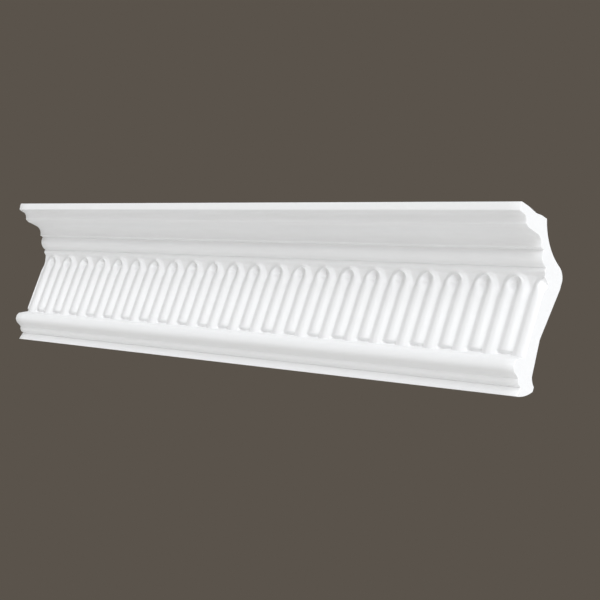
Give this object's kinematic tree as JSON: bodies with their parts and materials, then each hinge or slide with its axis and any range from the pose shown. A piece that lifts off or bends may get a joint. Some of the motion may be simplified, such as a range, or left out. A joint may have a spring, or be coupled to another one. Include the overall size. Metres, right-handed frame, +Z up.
{
  "type": "cornice moulding length",
  "caption": "Length of white cornice moulding with a stepped crown, a frieze of arched flutes, a torus and a bottom fillet, cut square at both ends.",
  "frame": {"origin": "on the wall plane, at the middle of the length and of the height of the upper wall land", "axes": "+X along the length to the right, +Y into the wall, +Z up to the ceiling"},
  "size_m": [0.36, 0.0376, 0.072],
  "materials": {
    "white_foam": "matte white primed rigid foam"
  },
  "bodies": {
    "root": {"cornice": "white_foam"}
  },
  "joints": []
}
